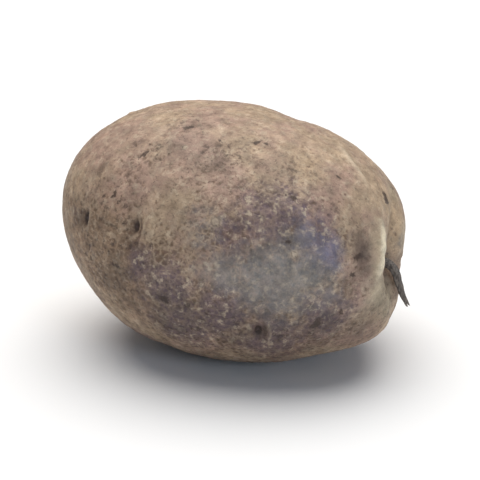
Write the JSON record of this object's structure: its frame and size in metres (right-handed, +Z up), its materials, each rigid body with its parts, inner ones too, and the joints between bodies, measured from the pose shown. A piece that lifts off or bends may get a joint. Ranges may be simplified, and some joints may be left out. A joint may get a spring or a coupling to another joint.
{
  "type": "purple potato",
  "caption": "Whole purple-skinned potato lying on its side, with shallow eyes, a furrowed stem end with a lip, and a short dried stolon drooping from it.",
  "frame": {"origin": "centre of the bounding box's bottom face, on the surface that the potato lies on", "axes": "+Z up, +X along the long axis towards the stem end, +Y across the tuber"},
  "size_m": [0.0784, 0.0596, 0.053],
  "materials": {
    "potato_skin": "matte",
    "dried_stolon": "matte"
  },
  "bodies": {
    "root": {"tuber": "potato_skin", "stolon": "dried_stolon"}
  },
  "joints": []
}
